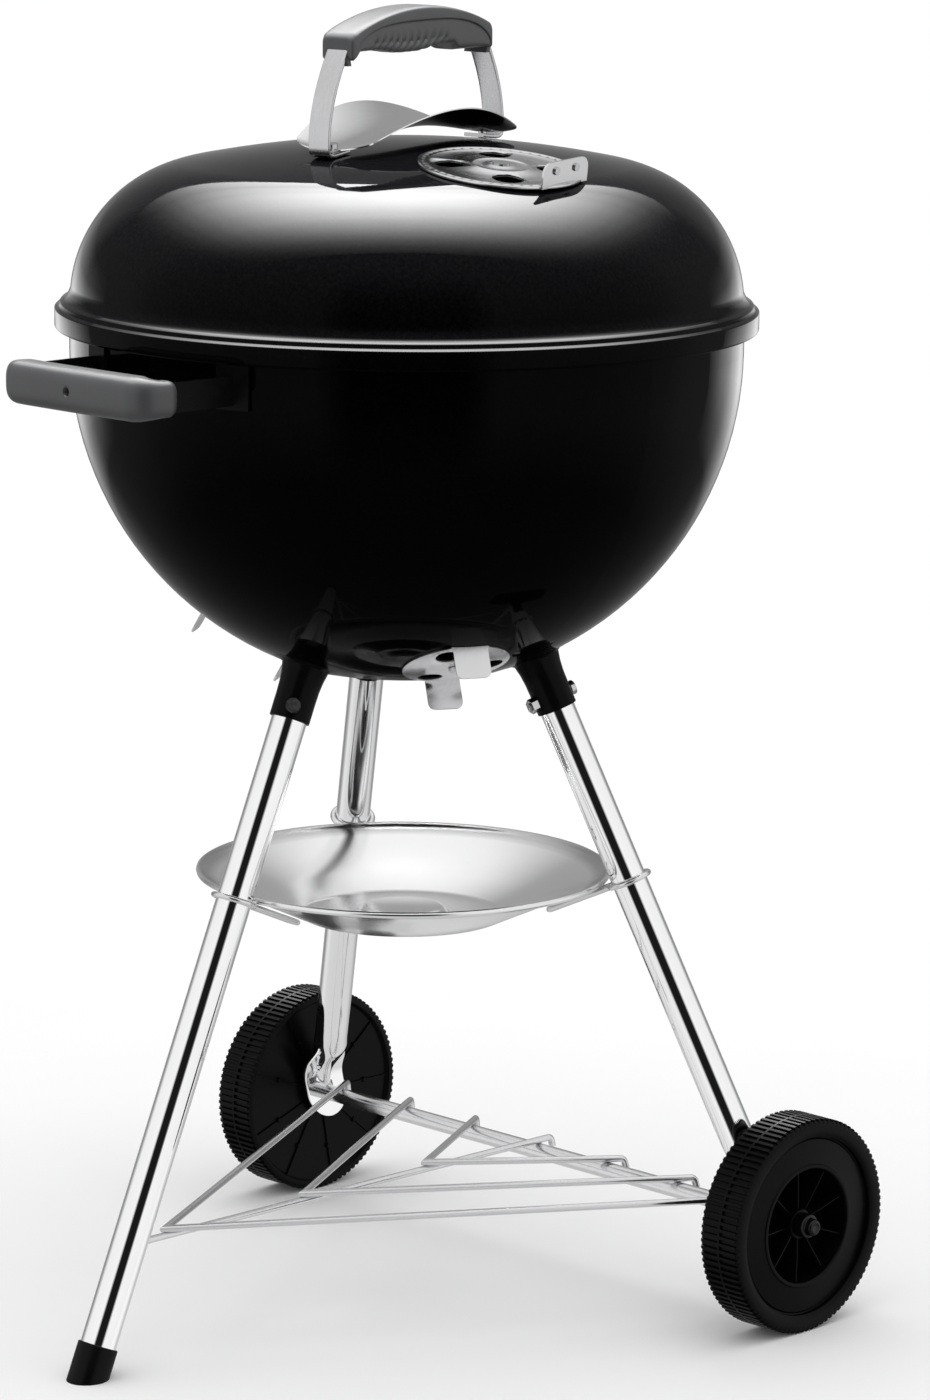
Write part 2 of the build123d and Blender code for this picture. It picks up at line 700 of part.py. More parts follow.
def rack_wire(start, end):
    """Straight wire laid over the axle, with its end turned down behind it."""
    along = (end - start).normalized()
    tip = end + along * 12
    with BuildLine() as path:
        FilletPolyline(start, tip, tip + along * 2 + Vector(0, 0, -7), radius=3.5)
    wire_along(path.wire(), rack_wire_r)


with BuildPart() as rack_center_rod:
    rack_wire(at(0, front_y - 1, rod_z(front_y)), at(0, axle_reach, over_axle_z))
save(rack_center_rod, "rack_center_rod")

for name, side in (("right", 1), ("left", -1)):
    with BuildPart() as rack_wires:
        for step, apex_y in enumerate(rack_apexes, start=1):
            apex = at(0, apex_y, rod_z(apex_y) + 2 * rack_wire_r + 0.05)
            end = at(side * step * rack_pitch, axle_reach, over_axle_z)
            rack_wire(apex - (end - apex).normalized() * 6, end)
        split(bisect_by=Plane(origin=(side * 0.02, 0, 0), z_dir=(side, 0, 0)), keep=Keep.TOP)
    save(rack_wires, f"rack_wires_{name}")

# ---- ash pan and its wire clips ------------------------------------------------------------------
pan_sheet = 1.0
with BuildPart() as ash_pan:
    with BuildSketch(radial(0)):
        with BuildLine():
            FilletPolyline(
                (0, pan_floor_z + 6), (28, pan_floor_z + 6), (33, pan_floor_z), (pan_floor_r, pan_floor_z),
                (pan_r - 2, pan_z), radius=3,
            )
        trace(line_width=pan_sheet)
        with Locations((pan_r, pan_z)):
            Circle(2.2)
        with Locations((-10, pan_floor_z + 6)):
            Rectangle(20, 20, mode=Mode.SUBTRACT)
    revolve(axis=spin)
save(ash_pan, "ash_pan")

with BuildPart() as pan_clips:
    ring_r, tail_half, tail_end, turn_r = tube_r + wire_r + 0.1, 5.0, 58.0, 3.5
    turn_y = tail_half + turn_r
    turn_x = -sqrt((ring_r + turn_r) ** 2 - turn_y**2)
    neck = degrees(atan2(turn_y, -turn_x))
    for name in leg_angles:
        mouth, low, down = leg_line(name)
        plane = leg_plane(name)
        flat = Plane(origin=on_line(mouth, down, clip_z), x_dir=plane.x_dir, z_dir=plane.z_dir)
        with BuildLine(flat) as path:
            CenterArc((-tail_end, 0), tail_half, 184, 86)
            Line((-tail_end, -tail_half), (turn_x, -tail_half))
            CenterArc((turn_x, -turn_y), turn_r, 90, neck - 90)
            CenterArc((0, 0), ring_r, neck - 180, 360 - 2 * neck)
            CenterArc((turn_x, turn_y), turn_r, -neck, neck - 90)
            Line((turn_x, tail_half), (-tail_end, tail_half))
            CenterArc((-tail_end, 0), tail_half, 90, 86)
        wire_along(path.wire(), wire_r)
save(pan_clips, "pan_clips")


# ---- grates --------------------------------------------------------------------------------------
def grate_rod(start, direction, radius, length):
    """Straight round rod."""
    with BuildSketch(Plane(origin=start, z_dir=direction)) as section:
        Circle(radius)
    extrude(section.sketch, amount=length)


def grate(ring_r, ring_z, ring_wire, rod_wire, pitch):
    """Round grate: a hoop with straight rods across it and two bars underneath."""
    with Locations(at(0, 0, ring_z)):
        Torus(ring_r, ring_wire)
    count = int((ring_r - pitch / 3) // pitch)
    for step in range(-count, count + 1):
        half = sqrt(ring_r**2 - (step * pitch) ** 2)
        grate_rod(at(step * pitch, -half, ring_z + 0.6), (0, 1, 0), rod_wire, 2 * half)
    for y in (-ring_r * 0.42, ring_r * 0.42):
        half = sqrt(ring_r**2 - y**2) - ring_wire
        grate_rod(at(-half, y, ring_z - rod_wire), (1, 0, 0), rod_wire, 2 * half)


coal_r, coal_wire = 168.0, 3.0
coal_z = bowl_center_z - sqrt((bowl_r - sheet - coal_wire - gap) ** 2 - coal_r**2)
with BuildPart() as charcoal_grate:
    grate(coal_r, coal_z, coal_wire, 2.5, 24)
save(charcoal_grate, "charcoal_grate")

cook_r, cook_wire, cook_rod, cook_pitch = 219.0, 3.0, 2.0, 18.0
cook_z = tab_z + cook_wire + gap
with BuildPart() as cooking_grate:
    grate(cook_r, cook_z, cook_wire, cook_rod, cook_pitch)
save(cooking_grate, "cooking_grate")

with BuildPart() as cooking_grate_handles:
    bail_x = 11 * cook_pitch
    bail_half, bail_high, bail_wire = 38.0, 20.0, 2.5
    bail_low = cook_z + 0.6 + cook_rod + 0.05
    bail_top = cook_z + bail_high
    for x in (-bail_x, bail_x):
        with BuildLine() as bail:
            FilletPolyline(
                at(x, -bail_half, bail_low), at(x, -bail_half, bail_top),
                at(x, bail_half, bail_top), at(x, bail_half, bail_low), radius=10,
            )
        wire_along(bail.wire(), bail_wire)
save(cooking_grate_handles, "cooking_grate_handles")
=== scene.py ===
import json
from math import atan2, cos, exp, pi, radians, sin, sqrt

import bmesh
import bpy
from mathutils import Matrix, Vector


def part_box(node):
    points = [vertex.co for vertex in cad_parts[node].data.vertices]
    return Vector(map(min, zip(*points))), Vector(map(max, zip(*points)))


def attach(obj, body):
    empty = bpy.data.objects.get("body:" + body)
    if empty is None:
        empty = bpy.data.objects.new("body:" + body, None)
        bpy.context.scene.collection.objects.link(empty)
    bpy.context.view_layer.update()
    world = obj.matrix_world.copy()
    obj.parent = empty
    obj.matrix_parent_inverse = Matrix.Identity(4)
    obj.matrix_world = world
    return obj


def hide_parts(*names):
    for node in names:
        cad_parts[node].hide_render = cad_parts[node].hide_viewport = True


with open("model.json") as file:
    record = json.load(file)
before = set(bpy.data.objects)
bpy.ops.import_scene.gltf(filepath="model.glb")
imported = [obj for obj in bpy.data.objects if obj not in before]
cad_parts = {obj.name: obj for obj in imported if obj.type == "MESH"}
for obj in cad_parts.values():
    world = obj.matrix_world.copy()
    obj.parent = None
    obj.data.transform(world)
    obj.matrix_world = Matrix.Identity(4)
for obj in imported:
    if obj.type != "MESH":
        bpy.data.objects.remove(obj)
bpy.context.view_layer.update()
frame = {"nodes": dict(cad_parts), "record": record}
nodes = frame["nodes"]

MM = 0.001
BOWL_LOW, BOWL_HIGH = (Vector(v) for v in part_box("bowl"))
AXIS_Y = (BOWL_LOW.y + BOWL_HIGH.y) / 2     # the kettle's own axis stands at X 0 and this Y

# Sizes in millimetres, measured from the kettle's axis at floor level, as in the CAD model.
DOME_R, DOME_Z = 786.0, 43.66               # sphere of the lid's flat dome: radius, centre height
BOWL_R, BOWL_Z = 235.0, 685.0               # sphere of the bowl: radius, centre height
HANDLE_TURN = radians(-80)                  # direction of the lid handle's near end
LID_VENT_REACH, LID_VENT_TURN = 118.0, radians(-12)     # middle of the lid damper
LID_TAB_TURN = radians(-70)                 # direction of the damper's tab, in the disc's own plane
LID_HOLE_REACH = 35.0                       # from the damper's middle to the middle of each hole
BAR_Z = 682.0                               # height of the bowl handle
SOCKET_REACH, SOCKET_Z = 111.3, 434.7       # middle of each leg socket's mouth
REAR_MOUTH_X, REAR_MOUTH_Y = 96.39, 55.65   # the mouth of the right socket, as X and Y
FOOT_REACH = 298.0                          # the front leg's foot
TUBE_R = 12.5                               # leg tube
SPADE_X, SPADE_R = 229.0, 19.5              # a rear leg's end, pressed flat round the axle
WHEEL_X, AXLE_Y, WHEEL_R = 232.5, 141.0, 77.0           # a wheel's inner face, the axle, the wheel
TO_CAMERA = Vector((0.717, -0.697, 0))      # level heading from the kettle to the camera


def at(x, y, z):
    """A point in millimetres from the kettle's axis at floor level, as a point of the frame in metres."""
    return Vector((x * MM, y * MM + AXIS_Y, z * MM))


def dome_z(reach):
    """Height of the lid's dome at a distance from its axis."""
    return DOME_Z + sqrt(DOME_R**2 - reach**2)


def ease(value, low, high):
    """Smooth step from 0 at low to 1 at high; low may be the larger."""
    t = min(max((value - low) / (high - low), 0), 1)
    return t * t * (3 - 2 * t)


def mix(a, b, share):
    """Value a share of the way from a to b."""
    return a + (b - a) * share


# ---- camera --------------------------------------------------------------------------------------
def make_camera():
    """Long-lens camera at a low three-quarter view of the kettle."""
    stand_azimuth, look_azimuth = radians(45.81), radians(45.17)
    reach, height, pitch, roll = 3819.78, 1181.75, radians(11.07), radians(0.49)
    level = Vector((cos(look_azimuth), sin(look_azimuth), 0))
    ahead = Vector((-sin(look_azimuth), cos(look_azimuth), 0))
    forward = ahead * cos(pitch) - Vector((0, 0, 1)) * sin(pitch)
    up = level.cross(forward)
    right = level * cos(roll) + up * sin(roll)
    up = up * cos(roll) - level * sin(roll)
    data = bpy.data.cameras.new("camera")
    data.sensor_fit = "VERTICAL"
    data.sensor_height = 36.0
    data.lens = 141.67697
    data.clip_end = 60
    camera = bpy.data.objects.new("camera", data)
    spot = at(sin(stand_azimuth) * reach, -cos(stand_azimuth) * reach, height)
    camera.matrix_world = Matrix.Translation(spot) @ Matrix((right, up, -forward)).transposed().to_4x4()
    bpy.context.collection.objects.link(camera)
    bpy.context.scene.camera = camera


# ---- node helpers --------------------------------------------------------------------------------
class Shader:
    """A material with one Principled shader, and short calls for the nodes that feed it."""

    def __init__(self, name, color, roughness, metallic=0.0, **sockets):
        self.material = bpy.data.materials.new(name)
        self.material.use_nodes = True
        self.tree = self.material.node_tree
        self.bsdf = self.tree.nodes["Principled BSDF"]
        self.bsdf.inputs["Base Color"].default_value = (*color, 1)
        self.bsdf.inputs["Roughness"].default_value = roughness
        self.bsdf.inputs["Metallic"].default_value = metallic
        for socket, value in sockets.items():
            self.bsdf.inputs[socket.replace("_", " ")].default_value = value

    def add(self, kind, **inputs):
        """New node with its inputs linked or set."""
        node = self.tree.nodes.new(kind)
        for socket, value in inputs.items():
            self.feed(node.inputs[socket.replace("_", " ")], value)
        return node

    def feed(self, socket, value):
        """Links an input to another node's output, or sets its value."""
        if isinstance(value, bpy.types.NodeSocket):
            self.tree.links.new(value, socket)
        else:
            socket.default_value = value

    def position(self, scale=(1, 1, 1), turn=(0, 0, 0)):
        """Object coordinates, in metres, stretched and turned."""
        coordinates = self.add("ShaderNodeTexCoord")
        mapping = self.add("ShaderNodeMapping", Vector=coordinates.outputs["Object"])
        mapping.inputs["Scale"].default_value = scale
        mapping.inputs["Rotation"].default_value = turn
        return mapping.outputs["Vector"]

    def noise(self, scale, detail, rough=0.5, vector=None):
        node = self.add("ShaderNodeTexNoise", Scale=scale, Detail=detail, Roughness=rough)
        self.feed(node.inputs["Vector"], vector or self.position())
        return node.outputs["Fac"]

    def math(self, operation, a, b):
        node = self.add("ShaderNodeMath")
        node.operation = operation
        self.feed(node.inputs[0], a)
        self.feed(node.inputs[1], b)
        return node.outputs[0]

    def vector(self, operation, a, b=(0, 0, 0)):
        node = self.add("ShaderNodeVectorMath")
        node.operation = operation
        self.feed(node.inputs[0], a)
        self.feed(node.inputs[1], b)
        return node.outputs["Value" if operation == "LENGTH" else "Vector"]

    def span(self, value, low, high):
        """Noise remapped to a range: most of its values lie between 0.3 and 0.7."""
        node = self.add("ShaderNodeMapRange", Value=value)
        node.inputs["From Min"].default_value = 0.3
        node.inputs["From Max"].default_value = 0.7
        node.inputs["To Min"].default_value = low
        node.inputs["To Max"].default_value = high
        return node.outputs["Result"]

    def tint(self, value, stops):
        """Colour ramp over a value: stops are (position, colour)."""
        node = self.add("ShaderNodeValToRGB", Fac=value)
        ramp = node.color_ramp
        while len(ramp.elements) < len(stops):
            ramp.elements.new(0.5)
        for element, (place, color) in zip(ramp.elements, stops):
            element.position = place
            element.color = (*color, 1)
        return node.outputs["Color"]

    def reach(self, center):
        """Distance from an upright axis through a point, in metres."""
        offset = self.vector("SUBTRACT", self.position(), center)
        return self.vector("LENGTH", self.vector("MULTIPLY", offset, (1, 1, 0)))

    def color(self, value):
        self.feed(self.bsdf.inputs["Base Color"], value)

    def roughness(self, value):
        self.feed(self.bsdf.inputs["Roughness"], value)

    def bump(self, height, distance):
        """Relief of the surface, scaled by a distance in metres."""
        node = self.add("ShaderNodeBump", Height=height, Distance=distance, Strength=1.0)
        self.feed(self.bsdf.inputs["Normal"], node.outputs["Normal"])


# ---- materials -----------------------------------------------------------------------------------
def enamel():
    """Deep black porcelain enamel: clean gloss with the faintest orange peel."""
    s = Shader("enamel", (0.001, 0.001, 0.0011), 0.05, IOR=1.1)
    s.color(s.tint(s.noise(420, 3), ((0.35, (0.0003, 0.0003, 0.0004)), (0.75, (0.0008, 0.0008, 0.0009)))))
    s.roughness(s.span(s.noise(35, 5), 0.035, 0.065))
    s.bump(s.noise(150, 2), 0.000012)
    return s.material


def metal(name, color, low, high, stretch, scale=60.0, bump=0.000004, turn=(0, 0, 0), depth=0.93):
    """Metal with drawn or brushed lines: noise that is stretched along the grain."""
    s = Shader(name, color, (low + high) / 2, metallic=1.0)
    grain = s.noise(scale, 5, 0.6, s.position(stretch, turn))
    cloud = s.noise(18, 4)
    dark = tuple(c * depth for c in color)
    s.color(s.tint(s.math("MULTIPLY", grain, s.span(cloud, 0.8, 1.2)), ((0.3, dark), (0.7, color))))
    s.roughness(s.span(grain, low, high))
    s.bump(grain, bump)
    return s.material


def spun(name, color, low, high):
    """Sheet metal spun on a lathe: concentric lines round the kettle's axis, and a band of painted shade by
    the rim.
    """
    s = Shader(name, color, (low + high) / 2, metallic=1.0)
    reach = s.reach((0, AXIS_Y, 0))
    across = s.add("ShaderNodeCombineXYZ", X=reach)
    rings = s.noise(900.0, 6, 0.65, across.outputs[0])
    cloud = s.noise(12, 4)
    dark = tuple(c * 0.95 for c in color)
    face = s.tint(s.math("MULTIPLY", rings, s.span(cloud, 0.85, 1.15)), ((0.3, dark), (0.7, color)))
    full_reach = 0.15
    # Painted shade: the colour darkens in a ring near the rolled rim, standing in for the rim's dark
    # reflection and shading.
    rim_shade_band = ((0.88, 1.0), (0.925, 0.6), (0.962, 0.5), (0.975, 0.9))
    painted_rim_shade = s.tint(s.math("DIVIDE", reach, full_reach),
                  [(place, (shade, shade, shade)) for place, shade in rim_shade_band])
    s.color(s.vector("MULTIPLY", face, painted_rim_shade))
    blotch = s.math("ADD", s.math("MULTIPLY", rings, 0.5), s.math("MULTIPLY", cloud, 0.5))
    s.roughness(s.span(blotch, low, high))
    s.bump(rings, 0.000006)
    return s.material


def plastic(name, dark, light, low, high, grain=1400.0, bump=0.00004, ior=1.5):
    """Moulded plastic: a fine pebbled skin with faint flow marks."""
    s = Shader(name, light, (low + high) / 2, IOR=ior)
    skin = s.noise(grain, 4, 0.6)
    flow = s.noise(22, 5)
    s.color(s.tint(s.math("ADD", s.math("MULTIPLY", skin, 0.4), s.math("MULTIPLY", flow, 0.6)),
                   ((0.35, dark), (0.65, light))))
    s.roughness(s.span(flow, low, high))
    s.bump(skin, bump)
    return s.material


def coated(name, color, rough):
    """Black coated steel: satin paint with a light orange peel."""
    s = Shader(name, color, rough, IOR=1.15)
    dark = tuple(c * 0.8 for c in color)
    light = tuple(c * 1.3 for c in color)
    s.color(s.tint(s.noise(90, 5), ((0.35, dark), (0.7, light))))
    s.roughness(s.span(s.noise(45, 4), rough * 0.85, rough * 1.2))
    s.bump(s.noise(700, 3), 0.00003)
    return s.material


materials = {
    "enamel": enamel(),
    "black_steel": coated("black_steel", (0.0022, 0.0022, 0.0024), 0.24),
    "leg_chrome": metal(
        "leg_chrome", (0.96, 0.96, 0.965), 0.035, 0.06, (30, 30, 1.5), bump=0.000001, depth=0.97),
    "strap_steel": metal("strap_steel", (0.62, 0.62, 0.63), 0.22, 0.3, (8, 8, 0.25), depth=0.9),
    "shield_aluminium": metal(
        "shield_aluminium", (0.84, 0.84, 0.85), 0.10, 0.18, (25, 1.0, 25), turn=(0, 0, 0.17)),
    "damper_aluminium": metal("damper_aluminium", (0.72, 0.72, 0.73), 0.16, 0.26, (25, 1.5, 6)),
    "pan_aluminium": spun("pan_aluminium", (0.93, 0.93, 0.935), 0.16, 0.22),
    "nylon": plastic("nylon", (0.038, 0.039, 0.041), (0.05, 0.051, 0.053), 0.34, 0.42),
    "zinc_wire": metal("zinc_wire", (0.74, 0.74, 0.75), 0.16, 0.24, (6, 6, 6), 40),
    "grate_wire": metal("grate_wire", (0.72, 0.72, 0.73), 0.16, 0.24, (6, 6, 6), 40),
    "wheel_plastic": plastic(
        "wheel_plastic", (0.0012, 0.0012, 0.0013), (0.002, 0.002, 0.0022), 0.28, 0.36, ior=1.17),
    "hub_plastic": plastic(
        "hub_plastic", (0.002, 0.002, 0.0022), (0.0032, 0.0032, 0.0034), 0.12, 0.18,
        grain=300, bump=0.00001, ior=1.35),
    "foot_plastic": plastic(
        "foot_plastic", (0.0015, 0.0015, 0.0016), (0.003, 0.003, 0.0032), 0.3, 0.4, ior=1.2),
    "fastener": metal("fastener", (0.6, 0.6, 0.61), 0.16, 0.26, (8, 8, 8), 50),
}
slots = {part["node"]: part["material_slot"] for part in frame["record"]["subparts"]}


def dress_cad():
    """Gives each CAD node the material of its slot."""
    for name, slot in slots.items():
        piece = nodes[name]
        if not piece.material_slots:
            piece.data.materials.append(None)
        for holder in piece.material_slots:
            holder.link = "OBJECT"
            holder.material = materials[slot]


# ---- mesh helpers --------------------------------------------------------------------------------
class Shape:
    """Points in metres and the faces between them."""

    def __init__(self):
        self.points, self.faces = [], []

    def grid(self, rows, loop=False, wrap=False):
        """Quads through rows of points: loop closes each row, wrap joins the last row to the first."""
        start, wide, deep = len(self.points), len(rows[0]), len(rows)
        for row in rows:
            self.points.extend(row)
        for i in range(deep if wrap else deep - 1):
            low, high = start + i * wide, start + (i + 1) % deep * wide
            for j in range(wide if loop else wide - 1):
                k = (j + 1) % wide
                self.faces.append((low + j, low + k, high + k, high + j))

    def tube(self, rows):
        """Closed rings of points with a flat end at each side."""
        start, wide = len(self.points), len(rows[0])
        self.grid(rows, loop=True)
        last = len(self.points) - wide
        self.faces.append(tuple(range(start + wide - 1, start - 1, -1)))
        self.faces.append(tuple(range(last, last + wide)))

    def mesh(self, name, sharp):
        """Smooth-shaded mesh with sharp edges where faces turn by more than an angle."""
        mesh = bpy.data.meshes.new(name)
        mesh.from_pydata(self.points, [], self.faces)
        shell = bmesh.new()
        shell.from_mesh(mesh)
        bmesh.ops.remove_doubles(shell, verts=shell.verts, dist=1e-6)
        bmesh.ops.dissolve_degenerate(shell, edges=shell.edges, dist=1e-7)
        bmesh.ops.recalc_face_normals(shell, faces=shell.faces)
        for face in shell.faces:
            face.smooth = True
        for edge in shell.edges:
            edge.smooth = len(edge.link_faces) == 2 and edge.calc_face_angle() < radians(sharp)
        shell.to_mesh(mesh)
        shell.free()
        return mesh

    def piece(self, name, body, node, sharp=38):
        """The finished piece: it rides on a body, stands for a CAD node and takes that node's material."""
        result = bpy.data.objects.new(name, self.mesh(name, sharp))
        bpy.context.collection.objects.link(result)
        result.data.materials.append(materials[slots[node]])
        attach(result, body)
        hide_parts(node)
        return result


def circle(count):
    """Equal turns round a circle, in radians."""
    return [2 * pi * i / count for i in range(count)]


def lathe(place, profile, count=192):
    """Rows of a turned shape: place(along, reach, angle) gives a point, profile lists (along, reach)."""
    return [[place(along, reach, angle) for angle in circle(count)] for along, reach in profile]


def blunt(value, power):
    """Cosine or sine bent towards the sides of a square as the power grows past 2."""
    return abs(value) ** (2 / power) * (1 if value >= 0 else -1)


def squircle(power_low, power_high, count=64):
    """Unit ring of (side, rise): square-cornered as a power grows, with its own power above and below."""
    ring = []
    for angle in circle(count):
        power = power_high if sin(angle) > 0 else power_low
        ring.append((blunt(cos(angle), power), blunt(sin(angle), power)))
    return ring


def carve(piece, cutter):
    """Cuts a closed shape out of a piece for good."""
    tool = bpy.data.objects.new("cutter", cutter.mesh("cutter", 30))
    bpy.context.collection.objects.link(tool)
    modifier = piece.modifiers.new("carve", "BOOLEAN")
    modifier.object = tool
    modifier.solver = "EXACT"
    bpy.context.view_layer.update()
    cut = bpy.data.meshes.new_from_object(piece.evaluated_get(bpy.context.evaluated_depsgraph_get()))
    piece.modifiers.clear()
    piece.data = cut
    bpy.data.objects.remove(tool)


# ---- lid handle ----------------------------------------------------------------------------------
def handle_point(along, side, z):
    """Point of the lid handle: along it towards its near end, across it, and up."""
    x = along * cos(HANDLE_TURN) - side * sin(HANDLE_TURN)
    y = along * sin(HANDLE_TURN) + side * cos(HANDLE_TURN)
    return at(x, y, z)


GRIP_HALF, GRIP_LOW, GRIP_SIDE = 83.0, 889.0, 14.0      # half length, lowest edge, half width
GRIP_CURL = 78.5                            # from here to its ends the grip rounds off


def grip_top(along):
    """Height of the grip's crown."""
    return 906.5 + 16 * (1 - (along / GRIP_HALF) ** 2)


def grip_seam(along):
    """Height of the line between the two shells: a flat-topped arch that drops to the grip's ends."""
    share = min(abs(along) / 80.5, 1)
    return GRIP_LOW + 23.3 * sqrt(1 - share**3.2)


def make_lid_grip():
    """Upper shell: crowned top, blunt rounded ends and an arched lower edge."""
    ring = squircle(10, 5)
    rows = []
    for step in range(-120, 121):
        along = GRIP_HALF * sin(step / 120 * pi / 2)
        share = max(abs(along) - GRIP_CURL, 0) / (GRIP_HALF - GRIP_CURL)
        curl = 1 - sqrt(1 - min(share, 1) ** 2)
        side = GRIP_SIDE - 2.5 * curl
        low = grip_seam(along) + 1.2 * curl
        high = grip_top(along) - 3.5 * curl
        middle, half = (low + high) / 2, (high - low) / 2
        rows.append([handle_point(along, side * s, middle + half * h) for s, h in ring])
    shape = Shape()
    shape.tube(rows)
    shape.piece("lid_grip_shell", "lid", "lid_handle_grip", 50)


def grip_belly(along):
    """Underside of the lower shell: flat near end, a soft sag for the fingers, a stop at the far end."""
    stop = 889.6
    low = 894.4 - 3.4 * ease(abs(along - 12), 40, 8)
    low = mix(low, stop, ease(along, -35, -43))
    return mix(low, stop, ease(along, 72, 79))


def make_lid_insert():
    """Lower shell: slanted finger ribs along one lower edge, and a short sleeve round each strap leg."""
    rib_pitch, rib_slant = 8.2, 1.1
    ring = squircle(4.5, 8, 96)
    rows = []
    for step in range(-200, 201):
        along = step * 0.4
        low, high = grip_belly(along), grip_seam(along) + 1.5
        middle, half = (low + high) / 2, max(high - low, 0.4) / 2
        row = []
        for s, h in ring:
            z = middle + half * h
            zone = ease(along, 61, 55) * ease(along, -32, -26) * ease(z, 904, 899)
            groove = 0.5 - 0.5 * cos(2 * pi * (along + rib_slant * (z - 893)) / rib_pitch)
            side = (GRIP_SIDE - 0.9) * s * (1 - 0.15 * zone * groove)
            row.append(handle_point(along, side, z + 0.6 * zone * groove * ease(h, 0, -1)))
        rows.append(row)
    shape = Shape()
    shape.tube(rows)
    box = squircle(8, 8, 32)
    for end in (1, -1):
        shape.tube([[handle_point(end * (82.6 - 0.29 * (889 - z)) + 2.6 * h, 9.8 * s, z) for s, h in box]
                    for z in (891, 886.2, 885.6)])
    shape.piece("lid_grip_insert", "lid", "lid_handle_insert", 50)


def shield_wide(along):
    """Half-width of the leaf-shaped shield."""
    wide = 44 - 13 * (along / 90) ** 2
    return wide * sqrt(1 - (max(abs(along) - 84, 0) / 13) ** 2)


def make_shield():
    """Polished saddle: low along its middle, with wings that rise along both sides."""
    columns, thick = 40, 0.9
    rows = []
    for step in range(-96, 97):
        along = 96 * sin(step / 96 * pi / 2)
        share = 1 - (along / 98) ** 2
        middle = dome_z(along) + 3.9 + 5 * share**2
        rise = 0.5 + 14 * share**0.8
        wide = shield_wide(along)
        top, under = [], []
        for column in range(columns + 1):
            side = column / columns * 2 - 1
            z = middle + rise * abs(side) ** 1.7
            top.append(handle_point(along, wide * side, z + thick))
            under.append(handle_point(along, wide * side, z))
        rows.append(top + under[::-1])
    shape = Shape()
    shape.tube(rows)
    shape.piece("heat_shield_leaf", "lid", "heat_shield", 60)


# ---- lid damper ----------------------------------------------------------------------------------
def damper_frame():
    """The lid damper's middle on the dome, the way to its tab, the way across that, and outward."""
    rise = sqrt(DOME_R**2 - LID_VENT_REACH**2)
    normal = Vector((LID_VENT_REACH * cos(LID_VENT_TURN), LID_VENT_REACH * sin(LID_VENT_TURN), rise)) / DOME_R
    level = Vector((-sin(LID_VENT_TURN), cos(LID_VENT_TURN), 0))
    ahead = level * cos(LID_TAB_TURN) + normal.cross(level) * sin(LID_TAB_TURN)
    return normal * DOME_R + Vector((0, 0, DOME_Z)), ahead, normal.cross(ahead), normal


def hole_turns():
    """Directions of the damper's four holes from its tab."""
    return [pi / 4 + quarter * pi / 2 for quarter in range(4)]


def make_lid_damper():
    """Pressed disc with a rolled rim, a ring of small ridges and four round holes, and its upright tab."""
    origin, ahead, across, normal = damper_frame()

    def point(lift, reach, angle):
        flat = ahead * (reach * cos(angle)) + across * (reach * sin(angle))
        spot = origin + flat + normal * (lift - reach**2 / (2 * DOME_R))
        return at(*spot)

    profile = [(0.35, 3.05), (1.5, 3.05), (2.3, 4.2), (2.3, 9), (1.5, 10.5), (1.5, 18.2), (2.0, 18.8),
               (2.0, 20), (1.5, 20.6), (1.5, 49.2), (1.9, 49.8), (1.9, 51), (1.5, 51.6), (1.5, 53.4),
               (2.0, 54.2), (2.5, 55.2), (2.6, 56.2), (2.2, 56.9), (1.3, 57), (0.6, 56.8), (0.35, 56.2)]
    disc = Shape()
    turns = circle(288)
    rows = lathe(point, profile, len(turns))
    for (lift, reach), row in zip(profile, rows):
        if 51.2 < reach < 53.6:
            for index in range(0, len(turns), 6):
                row[index] = point(lift + 0.5, reach, turns[index])
    disc.grid(rows, loop=True, wrap=True)
    piece = disc.piece("lid_damper_disc", "lid_damper", "lid_damper", 50)
    holes = Shape()
    for turn in hole_turns():
        def rim(lift, reach, angle):
            forth = LID_HOLE_REACH * cos(turn) + reach * cos(angle)
            aside = LID_HOLE_REACH * sin(turn) + reach * sin(angle)
            return at(*(origin + (ahead * forth + across * aside) + normal * lift))

        holes.tube(lathe(rim, [(-6, 11), (6, 11)], 64))
    carve(piece, holes)

    corner, straight = 8, 10
    tab = Shape()
    rows = []
    for lift in (0.5, 4, 8, 11, 13.2, 15, 16.4, 17.4, 18):
        trim = corner - sqrt(max(corner**2 - max(lift - straight, 0) ** 2, 0))
        half = 25 - trim
        section = [(-half, 0), (half, 0), (half, 1.5), (-half, 1.5)]
        rows.append([at(*(origin + ahead * (52.3 + out) + across * side + normal * (lift - 1.6)))
                     for side, out in section])
    tab.tube(rows)
    tab.piece("lid_damper_ear", "lid_damper", "lid_damper_tab", 30)


